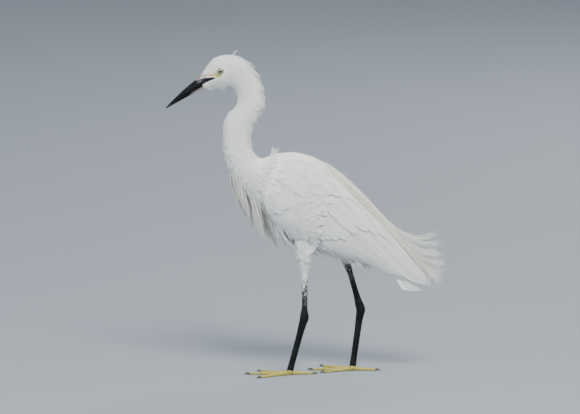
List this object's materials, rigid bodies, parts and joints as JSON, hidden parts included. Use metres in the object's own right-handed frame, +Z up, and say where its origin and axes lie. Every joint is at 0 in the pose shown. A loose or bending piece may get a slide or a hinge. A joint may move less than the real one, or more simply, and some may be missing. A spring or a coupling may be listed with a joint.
{
  "type": "little egret",
  "caption": "Standing little egret in breeding plumage: white body with long breast and back plumes, black bill and legs, yellow toes.",
  "frame": {"origin": "on the ground under the middle of the bird's bounding box", "axes": "+Z up, -X towards the bill, -Y towards the bird's left side"},
  "size_m": [0.4391, 0.1096, 0.5232],
  "materials": {
    "plumage": "soft white feathers, matt",
    "bill": "smooth black horn",
    "eye": "wet, pale yellow iris with a black pupil",
    "leg": "black scaled skin",
    "toes": "greenish yellow scaled skin",
    "claw": "dark horn"
  },
  "bodies": {
    "root": {"bill_upper": "bill", "bill_lower": "bill", "head": "plumage", "eye_right": "eye", "eye_left": "eye", "neck_upper": "plumage", "neck_middle": "plumage", "neck_lower": "plumage", "breast": "plumage", "torso": "plumage", "tail": "plumage", "wing_right": "plumage", "wing_left": "plumage", "thigh_left": "plumage", "shank_left": "leg", "tarsus_left": "leg", "foot_left": "toes", "claw_middle_left": "claw", "claw_inner_left": "claw", "claw_outer_left": "claw", "claw_hind_left": "claw", "thigh_right": "plumage", "shank_right": "leg", "tarsus_right": "leg", "foot_right": "toes", "claw_middle_right": "claw", "claw_inner_right": "claw", "claw_outer_right": "claw", "claw_hind_right": "claw"}
  },
  "joints": []
}
